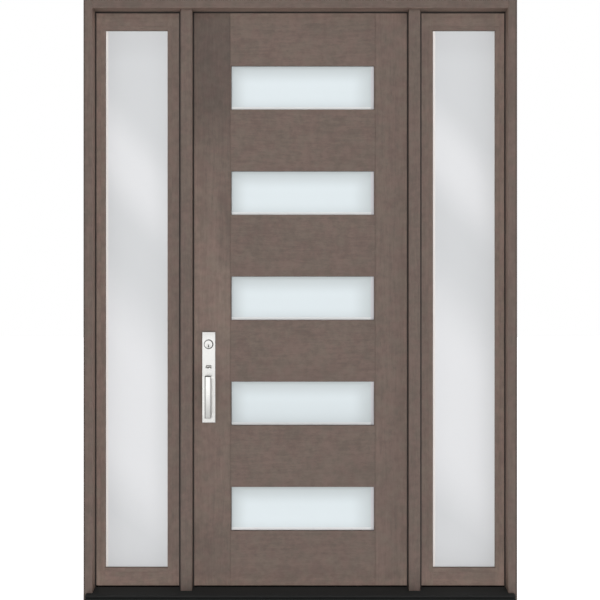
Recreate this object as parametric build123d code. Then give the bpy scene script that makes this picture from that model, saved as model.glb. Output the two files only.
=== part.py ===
from build123d import *
import math
import os

os.makedirs("parts", exist_ok=True)

# Entry door unit in millimetres: x to the right, y into the house, z up, floor at z = 0.

# Outer frame
UNIT_WIDTH = 1785.0
UNIT_HEIGHT = 2480.0
FRAME_DEPTH = 116.0
JAMB_THICKNESS = 36.0
HEAD_THICKNESS = 33.5
STOP_DEPTH = 59.0
RABBET = 11.0
ARRIS = 1.5

# Mull posts between the leaf and the side panels
DOORWAY_WIDTH = 898.0
POST_WIDTH = 48.0
POST_SETBACK = 22.0

# Sill
SILL_PROJECTION = 26.0
SILL_END_INSET = 11.5
TREAD_REAR_HEIGHT = 45.7
TREAD_NOSE_HEIGHT = 32.0
TREAD_SHEET = 2.2
NOSE_WALL = 10.0
NOSE_LIP = 6.0
NOSE_GROOVE = 7.5
TREAD_FOOT_HEIGHT = 8.0
LEDGE_HEIGHT = 30.0
CAP_SETBACK = 7.0

# Leaf
LEAF_THICKNESS = 44.5
LEAF_SETBACK = 11.0
EDGE_GAP = 5.0
LEAF_BOTTOM = 48.6
LATCH_BEVEL_DEG = 3.0
SKIN = 2.5
EDGE_STILE = 38.0
EDGE_RAIL = 50.0
JOINT_GROOVE_WIDTH = 1.8
JOINT_GROOVE_DEPTH = 0.9
JOINT_GROOVE_OFFSET = 4.5

# Lites of the leaf
LITE_COUNT = 5
LITE_HEIGHT = 182.4
LITE_END_MARGIN = 229.5
LATCH_STILE = 166.3
HINGE_STILE = 145.7
LITE_SOFTENING = 1.2
RETURN_WIDTH = 10.0
GLASS_UNIT = 25.0
PANE = 4.0
PANE_CLEARANCE = 0.5
SPACER_WIDTH = 11.0
SPACER_INSET = 1.0

# Side panels
PANEL_GAP = 1.5
PANEL_INNER_STILE = 57.0
PANEL_OUTER_STILE = 50.4
PANEL_TOP_RAIL = 81.4
PANEL_BOTTOM_RAIL = 75.0
BEAD_WIDTH = 18.0
BEAD_SETBACK = 0.8
BEAD_CHAMFER = 3.0
JOINT_GAP = 0.3

# Seals
SEAL_CLEARANCE = 0.4
SEAL_REVEAL = 3.4
HEAD_SEAL_REVEAL = 4.4
POST_SEAL_REVEAL = 9.0
SEAL_ROUND = 3.0
SWEEP_HEIGHT = 4.0
SWEEP_INSET = 8.0

# Hinges
HINGE_COUNT = 4
HINGE_HEIGHT = 102.0
HINGE_TOP_MARGIN = 229.0
HINGE_BOTTOM_MARGIN = 331.0
LEAF_PLATE = 2.4
LEAF_PLATE_WIDTH = 36.0
LEAF_PLATE_CORNER = 12.0
KNUCKLES = 5
KNUCKLE_RADIUS = 6.0
KNUCKLE_GAP = 0.4
KNUCKLE_STANDOFF = 6.5
PIN_RADIUS = 3.5
PIN_CLEARANCE = 0.08

# Handleset outside
BACKSET = 72.0
PLATE_WIDTH = 56.0
PLATE_HEIGHT = 380.0
PLATE_THICKNESS = 6.0
PLATE_BOTTOM = 730.0
PLATE_SOFTENING = 1.5
CYLINDER_DROP = 52.0
COLLAR_RADIUS = 20.0
COLLAR_TOP_RADIUS = 17.0
COLLAR_PROJECTION = 9.0
FACE_RADIUS = 15.5
FACE_RECESS = 1.2
PLUG_RADIUS = 6.5
PLUG_CLEARANCE = 0.08
PLUG_PROUD = 0.4
PLUG_DROP = 6.0
KEYWAY_WIDTH = 2.6
KEYWAY_HEIGHT = 9.0
KEYWAY_DEPTH = 8.0
GRIP_WIDTH = 25.0
GRIP_RISE = 23.0
GRIP_LENGTH = 175.0
GRIP_PROJECTION = 48.0
GRIP_THICKNESS = 11.0
GRIP_LEG = 12.0
GRIP_ROUND = 5.0
THUMB_BELOW_CYLINDER = 92.0
THUMB_WIDTH = 21.0
THUMB_REACH = 34.0
THUMB_THICKNESS = 3.2
THUMB_EDGE = 1.8
THUMB_RISE = 2.4
THUMB_SAG = 3.4
THUMB_TILT_DEG = 6.0
THUMB_BARREL_RADIUS = 2.2
THUMB_BARREL_LENGTH = 28.0
THUMB_CLEARANCE = 0.4
THUMB_SWING_ROOM = 1.6
THUMB_TIP_ROUND = 6.0

# Latch edge and strikes
LATCH_BELOW_THUMB = 11.0
FACEPLATE_WIDTH = 25.0
FACEPLATE_HEIGHT = 57.0
FACEPLATE_THICKNESS = 2.4
STRIKE_WIDTH = 28.0
STRIKE_HEIGHT = 70.0
STRIKE_THICKNESS = 1.6
STRIKE_HOLE_WIDTH = 16.0
STRIKE_HOLE_HEIGHT = 28.0
STRIKE_POCKET = 18.0
BOLT_WIDTH = 13.0
BOLT_HEIGHT = 25.0
BOLT_LENGTH = 30.0

# Handleset inside
ROSE_SIZE = 64.0
ROSE_THICKNESS = 8.0
ROSE_ROUND = 2.0
TURN_NECK_RADIUS = 8.0
TURN_NECK = 9.0
TURN_WIDTH = 11.0
TURN_HEIGHT = 42.0
TURN_DEPTH = 17.0
LEVER_NECK_RADIUS = 10.0
LEVER_NECK = 36.0
LEVER_LENGTH = 118.0
LEVER_BAR_HEIGHT = 20.0
LEVER_BAR_DEPTH = 12.0
LEVER_ROUND = 3.0

# Places that several pieces share
front = -FRAME_DEPTH / 2
back = FRAME_DEPTH / 2
shoulder = front + STOP_DEPTH
leaf_front = shoulder + LEAF_SETBACK
leaf_back = leaf_front + LEAF_THICKNESS
jamb_outer = UNIT_WIDTH / 2
jamb_inner = jamb_outer - JAMB_THICKNESS
jamb_rabbet = jamb_inner + RABBET
head_under = UNIT_HEIGHT - HEAD_THICKNESS
head_rabbet = head_under + RABBET
post_inner = DOORWAY_WIDTH / 2
post_outer = post_inner + POST_WIDTH
post_rabbet = post_inner + RABBET
post_front = front + POST_SETBACK
leaf_half = post_rabbet - EDGE_GAP
leaf_top = head_rabbet - EDGE_GAP
sill_nose = front - SILL_PROJECTION
sill_half = jamb_outer - SILL_END_INSET
tread_slope = (TREAD_REAR_HEIGHT - TREAD_NOSE_HEIGHT) / (shoulder - sill_nose)
glass_front = (leaf_front + leaf_back - GLASS_UNIT) / 2
glass_back = glass_front + GLASS_UNIT
handle_x = -leaf_half + BACKSET
handle_face = leaf_front - PLATE_THICKNESS
plate_top = PLATE_BOTTOM + PLATE_HEIGHT
cylinder_height = plate_top - CYLINDER_DROP
thumb_height = cylinder_height - THUMB_BELOW_CYLINDER
latch_height = thumb_height - LATCH_BELOW_THUMB
grip_bottom = PLATE_BOTTOM + GRIP_RISE
grip_top = grip_bottom + GRIP_LENGTH
hinge_x = leaf_half + EDGE_GAP / 2
hinge_y = max(back, leaf_back) + KNUCKLE_STANDOFF


def block(x0, x1, y0, y1, z0, z1):
    """Straight-sided piece between two corners."""
    centre = Pos((x0 + x1) / 2, (y0 + y1) / 2, (z0 + z1) / 2)
    return centre * Box(x1 - x0, y1 - y0, z1 - z0)


def upright(plan, z0, z1):
    """Piece with one plan outline in x and y, standing from z0 to z1."""
    outline = make_face(Polyline(*plan, close=True))
    return Pos(0, 0, z0) * extrude(outline, amount=z1 - z0, dir=(0, 0, 1))


def lengthwise(section, x0, x1):
    """Piece with one section in y and z, running from x0 to x1."""
    outline = Plane.YZ * make_face(Polyline(*section, close=True))
    return Pos(x0, 0, 0) * extrude(outline, amount=x1 - x0, dir=(1, 0, 0))


def round_bar(x, z, radius, y0, y1):
    """Round piece along y at one x and z."""
    turned = Rot(90, 0, 0) * Cylinder(radius, y1 - y0)
    return Pos(x, (y0 + y1) / 2, z) * turned


def other_side(piece):
    """The same piece on the left half of the unit."""
    return mirror(piece, about=Plane.YZ)


def save(name, *pieces):
    """Writes one node, whose pieces don't touch each other."""
    solids = []
    for piece in pieces:
        solids.extend(piece.solids())
    shape = solids[0] if len(solids) == 1 else Compound(solids)
    export_step(shape, f"parts/{name}.step")
    print(name, len(solids))


# Sill: a composite base, a bent metal tread over its slope, and caps on its rear ledge

def tread_height(y):
    """Top of the sloping tread at one depth."""
    return TREAD_NOSE_HEIGHT + (y - sill_nose) * tread_slope


wall = sill_nose + NOSE_WALL
lip = TREAD_NOSE_HEIGHT - NOSE_LIP
upstand = shoulder - TREAD_SHEET
tread_section = [
    (shoulder, tread_height(shoulder)),
    (sill_nose + ARRIS, tread_height(sill_nose + ARRIS)),
    (sill_nose, TREAD_NOSE_HEIGHT - ARRIS),
    (sill_nose, lip),
    (sill_nose + NOSE_GROOVE, lip),
    (sill_nose + NOSE_GROOVE, lip - NOSE_LIP),
    (sill_nose, lip - NOSE_LIP),
    (sill_nose, TREAD_FOOT_HEIGHT),
    (wall, TREAD_FOOT_HEIGHT),
    (wall, tread_height(wall) - TREAD_SHEET),
    (upstand, tread_height(upstand) - TREAD_SHEET),
    (upstand, LEDGE_HEIGHT),
    (shoulder, LEDGE_HEIGHT),
]
substrate_section = [
    (wall, 0),
    (wall, tread_height(wall) - TREAD_SHEET),
    (upstand, tread_height(upstand) - TREAD_SHEET),
    (upstand, LEDGE_HEIGHT),
    (back, LEDGE_HEIGHT),
    (back, 0),
]
sill_tread = lengthwise(tread_section, -sill_half, sill_half)
sill_substrate = lengthwise(substrate_section, -sill_half, sill_half)
sill_envelope = sill_tread + sill_substrate

cap_front = shoulder + CAP_SETBACK
cap_top = LEAF_BOTTOM - EDGE_GAP
cap_section = [
    (cap_front, LEDGE_HEIGHT),
    (cap_front, cap_top - SEAL_ROUND),
    (cap_front + SEAL_ROUND, cap_top),
    (leaf_back - SEAL_ROUND, cap_top),
    (leaf_back, cap_top - SEAL_ROUND),
    (leaf_back, LEDGE_HEIGHT),
]
door_sill_cap = lengthwise(cap_section, JOINT_GAP - post_rabbet, post_rabbet - JOINT_GAP)
panel_cap = block(
    post_outer + JOINT_GAP, jamb_rabbet - JOINT_GAP, cap_front + CAP_SETBACK, leaf_back,
    LEDGE_HEIGHT, LEAF_BOTTOM,
)

# Jambs, head and mull posts, with the rabbet on the inside and the legs cut over the sill

jamb_plan = [
    (jamb_outer, front),
    (jamb_inner + ARRIS, front),
    (jamb_inner, front + ARRIS),
    (jamb_inner, shoulder),
    (jamb_rabbet, shoulder),
    (jamb_rabbet, back),
    (jamb_outer, back),
]
side_jamb = upright(jamb_plan, 0, UNIT_HEIGHT) - sill_envelope
head_section = [
    (front, UNIT_HEIGHT),
    (front, head_under + ARRIS),
    (front + ARRIS, head_under),
    (shoulder, head_under),
    (shoulder, UNIT_HEIGHT),
]
head_front = lengthwise(head_section, -jamb_inner, jamb_inner)
head_back = block(-jamb_rabbet, jamb_rabbet, shoulder, back, head_rabbet, UNIT_HEIGHT)
head_jamb = head_front + head_back
post_plan = [
    (post_inner, shoulder),
    (post_inner, post_front + ARRIS),
    (post_inner + ARRIS, post_front),
    (post_outer - ARRIS, post_front),
    (post_outer, post_front + ARRIS),
    (post_outer, shoulder),
]
post_stop = upright(post_plan, 0, head_under)
post_web = block(post_rabbet, post_outer, shoulder, back, 0, head_rabbet)
mull_post = post_stop + post_web - sill_envelope

# Hinges: a leaf plate let into the post with the pin fixed in its knuckles, and one let into the edge stile


def hinge_leaf(x0, x1, edge, bottom, knuckles):
    """One plate with its share of the knuckles, not yet bored."""
    top = bottom + HINGE_HEIGHT
    plate = block(x0, x1, leaf_back - LEAF_PLATE_WIDTH, edge, bottom, top)
    corners = plate.edges().filter_by(Axis.X).group_by(Axis.Y)[0]
    plate = fillet(corners, LEAF_PLATE_CORNER)
    step = HINGE_HEIGHT / KNUCKLES
    for index in knuckles:
        low = bottom + index * step + KNUCKLE_GAP / 2
        high = bottom + (index + 1) * step - KNUCKLE_GAP / 2
        plate += block(x0, x1, edge, hinge_y, low, high) + on_pin(KNUCKLE_RADIUS, low, high)
    return plate


def on_pin(radius, low, high):
    """Round piece about the hinge axis."""
    return Pos(hinge_x, hinge_y, (low + high) / 2) * Cylinder(radius, high - low)


first_hinge = LEAF_BOTTOM + HINGE_BOTTOM_MARGIN - HINGE_HEIGHT / 2
last_hinge = leaf_top - HINGE_TOP_MARGIN - HINGE_HEIGHT / 2
frame_leaves = []
door_leaves = []
for index in range(HINGE_COUNT):
    low = first_hinge + (last_hinge - first_hinge) * index / (HINGE_COUNT - 1)
    high = low + HINGE_HEIGHT
    pin = on_pin(PIN_RADIUS, low + KNUCKLE_GAP, high - KNUCKLE_GAP)
    frame_plate = hinge_leaf(post_rabbet, post_rabbet + LEAF_PLATE, back, low, range(0, KNUCKLES, 2))
    door_plate = hinge_leaf(leaf_half - LEAF_PLATE, leaf_half, leaf_back, low, range(1, KNUCKLES, 2))
    frame_leaves.append(frame_plate + pin)
    door_leaves.append(door_plate - on_pin(PIN_RADIUS + PIN_CLEARANCE, low, high))

hinge_post = mull_post
for plate in frame_leaves:
    hinge_post -= plate

# Strikes on the latch post, each with a pocket behind its hole

latch_post = other_side(mull_post)
leaf_middle = (leaf_front + leaf_back) / 2
strikes = []
for height in (latch_height, cylinder_height):
    low = height - STRIKE_HEIGHT / 2
    high = height + STRIKE_HEIGHT / 2
    near = leaf_middle - STRIKE_WIDTH / 2
    far = leaf_middle + STRIKE_WIDTH / 2
    plate = block(-post_rabbet - STRIKE_THICKNESS, -post_rabbet, near, far, low, high)
    hole = block(
        -post_rabbet - STRIKE_POCKET, -post_rabbet,
        leaf_middle - STRIKE_HOLE_WIDTH / 2, leaf_middle + STRIKE_HOLE_WIDTH / 2,
        height - STRIKE_HOLE_HEIGHT / 2, height + STRIKE_HOLE_HEIGHT / 2,
    )
    strikes.append(plate - hole)
    latch_post = latch_post - plate - hole

# Seals around the leaf, and the fixed seals that bed the side panels


def seal(x0, x1, y1, z0, z1, along):
    """Bulb strip from the stop face to y1, rounded on the edges that run along one axis."""
    strip = block(x0, x1, shoulder, y1, z0, z1)
    return fillet(strip.edges().filter_by(along).group_by(Axis.Y)[-1], SEAL_ROUND)


bulb = leaf_front - SEAL_CLEARANCE
seal_top = head_under - HEAD_SEAL_REVEAL
seal_foot = tread_height(shoulder) + JOINT_GAP
hinge_seal = seal(post_inner - SEAL_REVEAL, post_rabbet, bulb, seal_foot, seal_top - JOINT_GAP, Axis.Z)
head_seal = seal(-post_rabbet, post_rabbet, bulb, seal_top, head_rabbet, Axis.X)
post_side_seal = block(
    post_outer, post_outer + POST_SEAL_REVEAL, shoulder, leaf_front, seal_foot, seal_top - JOINT_GAP
)
jamb_side_seal = block(
    jamb_inner - SEAL_REVEAL, jamb_rabbet, shoulder, leaf_front, seal_foot, seal_top - JOINT_GAP
)
panel_head_seal = block(post_outer, jamb_rabbet, shoulder, leaf_front, seal_top, head_rabbet)
panel_seals = [post_side_seal, jamb_side_seal, panel_head_seal]

# Side panel: stiles full height, rails between, glass bedded from outside behind beads

panel_inner = post_outer + PANEL_GAP
panel_outer = jamb_rabbet - PANEL_GAP
sight_left = panel_inner + PANEL_INNER_STILE
sight_right = panel_outer - PANEL_OUTER_STILE
sight_bottom = LEAF_BOTTOM + PANEL_BOTTOM_RAIL
sight_top = leaf_top - PANEL_TOP_RAIL
panel = block(panel_inner, panel_outer, leaf_front, leaf_back, LEAF_BOTTOM, leaf_top)
panel -= block(sight_left, sight_right, leaf_front, leaf_back, sight_bottom, sight_top)
panel -= block(
    sight_left - BEAD_WIDTH, sight_right + BEAD_WIDTH, leaf_front, glass_back,
    sight_bottom - BEAD_WIDTH, sight_top + BEAD_WIDTH,
)
inner_stile = panel & block(panel_inner, sight_left, leaf_front, leaf_back, LEAF_BOTTOM, leaf_top)
outer_stile = panel & block(sight_right, panel_outer, leaf_front, leaf_back, LEAF_BOTTOM, leaf_top)
bottom_rail = panel & block(sight_left, sight_right, leaf_front, leaf_back, LEAF_BOTTOM, sight_bottom)
top_rail = panel & block(sight_left, sight_right, leaf_front, leaf_back, sight_top, leaf_top)


def glass_unit(x0, x1, z0, z1):
    """Two panes and the spacer between them, for one glazed opening with its edge cover."""
    outer_pane = block(x0, x1, glass_front, glass_front + PANE, z0, z1)
    inner_pane = block(x0, x1, glass_back - PANE, glass_back, z0, z1)
    ring = block(
        x0 + SPACER_INSET, x1 - SPACER_INSET, glass_front + PANE, glass_back - PANE,
        z0 + SPACER_INSET, z1 - SPACER_INSET,
    )
    reach = SPACER_INSET + SPACER_WIDTH
    ring -= block(
        x0 + reach, x1 - reach, glass_front + PANE, glass_back - PANE, z0 + reach, z1 - reach
    )
    return [outer_pane, inner_pane], ring


panel_cover = BEAD_WIDTH - PANE_CLEARANCE
panel_panes, panel_spacer = glass_unit(
    sight_left - panel_cover, sight_right + panel_cover, sight_bottom - panel_cover, sight_top + panel_cover
)
bead_front = leaf_front + BEAD_SETBACK
bead_ring = block(
    sight_left - BEAD_WIDTH, sight_right + BEAD_WIDTH, bead_front, glass_front,
    sight_bottom - BEAD_WIDTH, sight_top + BEAD_WIDTH,
)
bead_ring -= block(sight_left, sight_right, bead_front, glass_front, sight_bottom, sight_top)
bead_ring = chamfer(bead_ring.faces().sort_by(Axis.Y)[0].inner_wires()[0].edges(), BEAD_CHAMFER)
mitre_cut = Box(2 * BEAD_WIDTH, FRAME_DEPTH, JOINT_GAP)
for x, outward in ((sight_left, -1), (sight_right, 1)):
    for z, upward in ((sight_bottom, -1), (sight_top, 1)):
        corner = Pos(x + outward * BEAD_WIDTH / 2, bead_front, z + upward * BEAD_WIDTH / 2)
        bead_ring -= corner * Rot(0, -45 * outward * upward, 0) * mitre_cut
panel_beads = [bead_ring]

# Leaf: two moulded skins over edge stiles and rails, with a foam core in blocks between the lites

bevel = math.tan(math.radians(LATCH_BEVEL_DEG))


def latch_edge(y):
    """Bevelled latch edge of the leaf at one depth."""
    return -leaf_half + (leaf_back - y) * bevel


first_lite = LEAF_BOTTOM + LITE_END_MARGIN
last_lite = leaf_top - LITE_END_MARGIN - LITE_HEIGHT
lite_pitch = (last_lite - first_lite) / (LITE_COUNT - 1)
lite_left = LATCH_STILE - leaf_half
lite_right = leaf_half - HINGE_STILE
lite_bottoms = [first_lite + index * lite_pitch for index in range(LITE_COUNT)]


def skin(face, inner, glass):
    """Moulded sheet with a return around each lite, softened on the outside, and two joint grooves."""
    low, high = sorted((face, inner))
    plan = [(latch_edge(low), low), (leaf_half, low), (leaf_half, high), (latch_edge(high), high)]
    sheet = upright(plan, LEAF_BOTTOM, leaf_top)
    near, far = sorted((inner, glass))
    for bottom in lite_bottoms:
        top = bottom + LITE_HEIGHT
        sheet += block(
            lite_left - RETURN_WIDTH, lite_right + RETURN_WIDTH, near, far,
            bottom - RETURN_WIDTH, top + RETURN_WIDTH,
        )
    for bottom in lite_bottoms:
        sheet -= block(
            lite_left, lite_right, min(face, glass), max(face, glass), bottom, bottom + LITE_HEIGHT
        )
    on_face = sheet.edges().filter_by(lambda edge: abs(edge.center().Y - face) < 0.01)
    around = on_face.filter_by(
        lambda edge: lite_left - 1 < edge.center().X < lite_right + 1
        and LEAF_BOTTOM + 1 < edge.center().Z < leaf_top - 1
    )
    sheet = chamfer(around, LITE_SOFTENING)
    inward = JOINT_GROOVE_DEPTH if inner > face else -JOINT_GROOVE_DEPTH
    half = JOINT_GROOVE_WIDTH / 2
    for x in (lite_left - JOINT_GROOVE_OFFSET, lite_right + JOINT_GROOVE_OFFSET):
        sheet -= upright([(x - half, face), (x + half, face), (x, face + inward)], LEAF_BOTTOM, leaf_top)
    return sheet


core_front = leaf_front + SKIN
core_back = leaf_back - SKIN
exterior_skin = skin(leaf_front, core_front, glass_front)
interior_skin = skin(leaf_back, core_back, glass_back)
latch_inner = EDGE_STILE - leaf_half
hinge_inner = leaf_half - EDGE_STILE
latch_plan = [
    (latch_edge(core_front), core_front),
    (latch_inner, core_front),
    (latch_inner, core_back),
    (latch_edge(core_back), core_back),
]
latch_stile = upright(latch_plan, LEAF_BOTTOM, leaf_top)
hinge_stile = block(hinge_inner, leaf_half, core_front, core_back, LEAF_BOTTOM, leaf_top)
for plate in door_leaves:
    hinge_stile -= plate
    interior_skin -= plate
core_bottom = LEAF_BOTTOM + EDGE_RAIL
core_top = leaf_top - EDGE_STILE
leaf_bottom_rail = block(latch_inner, hinge_inner, core_front, core_back, LEAF_BOTTOM, core_bottom)
leaf_top_rail = block(latch_inner, hinge_inner, core_front, core_back, core_top, leaf_top)

window_left = lite_left - RETURN_WIDTH
window_right = lite_right + RETURN_WIDTH
core = [
    block(latch_inner, window_left, core_front, core_back, core_bottom, core_top),
    block(window_right, hinge_inner, core_front, core_back, core_bottom, core_top),
]
lower = core_bottom
for bottom in lite_bottoms + [core_top + RETURN_WIDTH]:
    upper = bottom - RETURN_WIDTH
    core.append(block(window_left + JOINT_GAP, window_right - JOINT_GAP, core_front, core_back, lower, upper))
    lower = bottom + LITE_HEIGHT + RETURN_WIDTH

lite_cover = RETURN_WIDTH - PANE_CLEARANCE
lite_spacers = []
for number, bottom in enumerate(lite_bottoms, start=1):
    panes, ring = glass_unit(
        lite_left - lite_cover, lite_right + lite_cover,
        bottom - lite_cover, bottom + LITE_HEIGHT + lite_cover,
    )
    lite_spacers.append(ring)
    save(f"door_lite_{number}", *panes)

sweep = block(
    latch_edge(leaf_front) + SWEEP_INSET, leaf_half - SWEEP_INSET,
    leaf_front + SWEEP_INSET, leaf_back - SWEEP_INSET, LEAF_BOTTOM - SWEEP_HEIGHT, LEAF_BOTTOM,
)

faceplates = []
bolts = []
edge_middle = latch_edge(leaf_middle)
for height in (latch_height, cylinder_height):
    on_edge = Pos(edge_middle, leaf_middle, height) * Rot(0, 0, LATCH_BEVEL_DEG)
    flat = Pos(FACEPLATE_THICKNESS / 2, 0, 0) * Box(FACEPLATE_THICKNESS, FACEPLATE_WIDTH, FACEPLATE_HEIGHT)
    nose = Pos(BOLT_LENGTH / 2, 0, 0) * Box(BOLT_LENGTH, BOLT_WIDTH, BOLT_HEIGHT)
    room = Box(BOLT_LENGTH, BOLT_WIDTH + 2 * JOINT_GAP, BOLT_HEIGHT + 2 * JOINT_GAP)
    pocket = Pos(BOLT_LENGTH / 2, 0, 0) * room
    faceplates.append(on_edge * (flat - pocket))
    bolts.append(on_edge * nose)
    latch_stile = latch_stile - on_edge * flat - on_edge * pocket

# Handleset outside: plate, lock cylinder with a turning plug, thumb piece and grip

plate = block(
    handle_x - PLATE_WIDTH / 2, handle_x + PLATE_WIDTH / 2, handle_face, leaf_front,
    PLATE_BOTTOM, plate_top,
)
plate = chamfer(plate.faces().sort_by(Axis.Y)[0].edges(), PLATE_SOFTENING)
barrel_y = leaf_front - THUMB_BARREL_RADIUS - THUMB_CLEARANCE
barrel_room = THUMB_BARREL_RADIUS + THUMB_CLEARANCE
barrel_half = THUMB_BARREL_LENGTH / 2
plate -= block(
    handle_x - barrel_half - THUMB_CLEARANCE, handle_x + barrel_half + THUMB_CLEARANCE,
    barrel_y - barrel_room, leaf_front, thumb_height - barrel_room, thumb_height + barrel_room,
)
slot_half = THUMB_WIDTH / 2 + THUMB_CLEARANCE
slot_bottom = thumb_height - THUMB_SAG - THUMB_THICKNESS - THUMB_SWING_ROOM
slot_top = thumb_height + max(barrel_room, THUMB_RISE + THUMB_SWING_ROOM)
plate -= block(handle_x - slot_half, handle_x + slot_half, handle_face, leaf_front, slot_bottom, slot_top)
plate -= round_bar(handle_x, cylinder_height, FACE_RADIUS, handle_face, leaf_front)
handle_plate = plate

collar_front = handle_face - COLLAR_PROJECTION
face = collar_front + FACE_RECESS
collar_outline = Polyline(
    (0, leaf_front), (FACE_RADIUS, leaf_front), (FACE_RADIUS, handle_face), (COLLAR_RADIUS, handle_face),
    (COLLAR_TOP_RADIUS, collar_front), (FACE_RADIUS, face), (0, face), close=True,
)
turned_collar = revolve(make_face(collar_outline), axis=Axis.Y)
plug_height = cylinder_height - PLUG_DROP
lock_cylinder = Pos(handle_x, 0, cylinder_height) * turned_collar
lock_cylinder -= round_bar(handle_x, plug_height, PLUG_RADIUS, face, leaf_front)
plug_front = face - PLUG_PROUD
plug_radius = PLUG_RADIUS - PLUG_CLEARANCE
plug = round_bar(handle_x, plug_height, plug_radius, plug_front, leaf_front - PLUG_CLEARANCE)
plug -= block(
    handle_x - KEYWAY_WIDTH / 2, handle_x + KEYWAY_WIDTH / 2, plug_front, face + KEYWAY_DEPTH,
    plug_height - KEYWAY_HEIGHT / 2, plug_height + KEYWAY_HEIGHT / 2,
)

barrel = Rot(0, 90, 0) * Cylinder(THUMB_BARREL_RADIUS, THUMB_BARREL_LENGTH)
barrel = Pos(handle_x, barrel_y, thumb_height) * barrel
half_width = THUMB_WIDTH / 2
dished = ThreePointArc((-half_width, THUMB_RISE), (0, -THUMB_SAG), (half_width, THUMB_RISE))
belly = ThreePointArc(
    (half_width, THUMB_RISE - THUMB_EDGE),
    (0, -THUMB_SAG - THUMB_THICKNESS),
    (-half_width, THUMB_RISE - THUMB_EDGE),
)
edges = [Line(dished @ 1, belly @ 0), Line(belly @ 1, dished @ 0)]
spoon = Plane.XZ * make_face([dished, edges[0], belly, edges[1]])
reach = THUMB_REACH + barrel_y - handle_face
tongue = extrude(spoon, amount=reach, dir=(0, -1, 0))
tip_plan = block(-half_width, half_width, -reach, 0, -THUMB_REACH, THUMB_REACH)
tip_plan = fillet(tip_plan.edges().filter_by(Axis.Z).group_by(Axis.Y)[0], THUMB_TIP_ROUND)
tongue &= tip_plan
tongue = Pos(handle_x, barrel_y, thumb_height) * Rot(THUMB_TILT_DEG, 0, 0) * tongue
thumb_piece = tongue + barrel

grip = block(
    handle_x - GRIP_WIDTH / 2, handle_x + GRIP_WIDTH / 2, handle_face - GRIP_PROJECTION, handle_face,
    grip_bottom, grip_top,
)
grip = fillet(grip.faces().sort_by(Axis.Y)[0].edges(), GRIP_ROUND)
grip -= block(
    handle_x - GRIP_WIDTH / 2, handle_x + GRIP_WIDTH / 2, handle_face - GRIP_PROJECTION + GRIP_THICKNESS,
    handle_face, grip_bottom + GRIP_LEG, grip_top - GRIP_LEG,
)

# Handleset inside: two roses, a thumb turn and a lever

roses = []
for height in (latch_height, cylinder_height):
    rose = block(
        handle_x - ROSE_SIZE / 2, handle_x + ROSE_SIZE / 2, leaf_back, leaf_back + ROSE_THICKNESS,
        height - ROSE_SIZE / 2, height + ROSE_SIZE / 2,
    )
    roses.append(chamfer(rose.faces().sort_by(Axis.Y)[-1].edges(), ROSE_ROUND))
rose_face = leaf_back + ROSE_THICKNESS
turn_root = rose_face + TURN_NECK
thumb_turn = block(
    handle_x - TURN_WIDTH / 2, handle_x + TURN_WIDTH / 2, turn_root, turn_root + TURN_DEPTH,
    cylinder_height - TURN_HEIGHT / 2, cylinder_height + TURN_HEIGHT / 2,
)
thumb_turn = fillet(thumb_turn.edges().filter_by(Axis.Y), LEVER_ROUND)
thumb_turn += round_bar(handle_x, cylinder_height, TURN_NECK_RADIUS, rose_face, turn_root)
lever_root = rose_face + LEVER_NECK
lever = block(
    handle_x - LEVER_NECK_RADIUS, handle_x + LEVER_LENGTH, lever_root, lever_root + LEVER_BAR_DEPTH,
    latch_height - LEVER_BAR_HEIGHT / 2, latch_height + LEVER_BAR_HEIGHT / 2,
)
lever = fillet(lever.edges().filter_by(Axis.X), LEVER_ROUND)
lever += round_bar(handle_x, latch_height, LEVER_NECK_RADIUS, rose_face, lever_root)

# Nodes of the fixed frame
save("head_jamb", head_jamb)
save("left_side_jamb", other_side(side_jamb))
save("right_side_jamb", side_jamb)
save("left_mull_post", latch_post)
save("right_mull_post", hinge_post)
save("sill_substrate", sill_substrate)
save("sill_tread", sill_tread)
save("door_sill_cap", door_sill_cap)
save("sidelite_sill_caps", panel_cap, other_side(panel_cap))
save("door_weatherstrips", hinge_seal, other_side(hinge_seal), head_seal)
save("sidelite_seals", *panel_seals, *[other_side(piece) for piece in panel_seals])
save("strike_plates", *strikes)
save("frame_hinge_leaves", *frame_leaves)
save("sidelite_spacers", panel_spacer, other_side(panel_spacer))

# Nodes of the side panels
for side, turned in (("right", lambda piece: piece), ("left", other_side)):
    save(f"{side}_sidelite_inner_stile", turned(inner_stile))
    save(f"{side}_sidelite_outer_stile", turned(outer_stile))
    save(f"{side}_sidelite_top_rail", turned(top_rail))
    save(f"{side}_sidelite_bottom_rail", turned(bottom_rail))
    save(f"{side}_sidelite_glass", *[turned(pane) for pane in panel_panes])
    save(f"{side}_sidelite_beads", *[turned(bead) for bead in panel_beads])

# Nodes of the leaf
save("door_exterior_skin", exterior_skin)
save("door_interior_skin", interior_skin)
save("door_latch_stile", latch_stile)
save("door_hinge_stile", hinge_stile)
save("door_top_rail", leaf_top_rail)
save("door_bottom_rail", leaf_bottom_rail)
save("door_core", *core)
save("door_lite_spacers", *lite_spacers)
save("door_sweep", sweep)
save("door_hinge_leaves", *door_leaves)
save("edge_faceplates", *faceplates)
save("latch_bolts", *bolts)
save("handle_plate", handle_plate)
save("lock_cylinder", lock_cylinder)
save("key_plug", plug)
save("thumb_piece", thumb_piece)
save("grip_handle", grip)
save("interior_roses", *roses)
save("interior_thumb_turn", thumb_turn)
save("interior_lever", lever)
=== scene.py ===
# %% [markdown]
# An entry door unit: a stained fibreglass leaf with five frosted lites, a tall frosted panel
# on each side, a rabbeted frame on a dark sill, and a long-plate handleset in satin nickel.
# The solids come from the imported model, so this lesson gives them finishes, light and the
# small repeated pieces that a solid model leaves out. Everything is in metres.

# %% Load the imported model
import math

import bmesh
import bpy
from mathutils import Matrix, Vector
from mathutils.geometry import tessellate_polygon


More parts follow.
